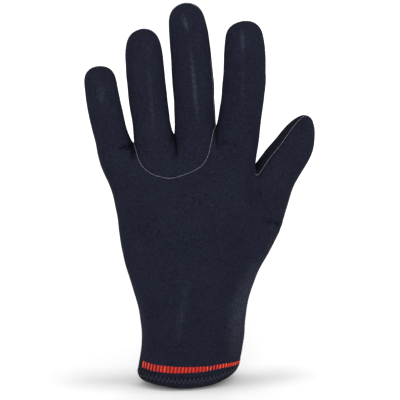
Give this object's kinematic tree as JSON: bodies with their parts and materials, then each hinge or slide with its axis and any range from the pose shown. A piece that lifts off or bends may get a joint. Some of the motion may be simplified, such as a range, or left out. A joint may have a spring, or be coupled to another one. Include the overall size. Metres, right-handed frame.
{
  "type": "diving glove",
  "caption": "Thin neoprene glove for the left hand, filled as if worn, with a seamed finger insert and a bound, bar-stitched cuff.",
  "frame": {"origin": "centre of the wrist opening, in the plane of the hem's lower edge", "axes": "+Z from the wrist to the fingertips, +X to the thumb side, -Y to the back of the hand"},
  "size_m": [0.1448, 0.0454, 0.2417],
  "materials": {
    "cloth": "matte knit jersey over foam",
    "palm_cloth": "matte knit jersey over foam",
    "binding": "matte folded binding",
    "thread": "satin embroidery thread"
  },
  "bodies": {
    "root": {"hand_panel": "cloth", "finger_panel": "cloth", "palm_panel": "palm_cloth", "cuff_hem": "binding", "stitch_band": "thread"}
  },
  "joints": []
}
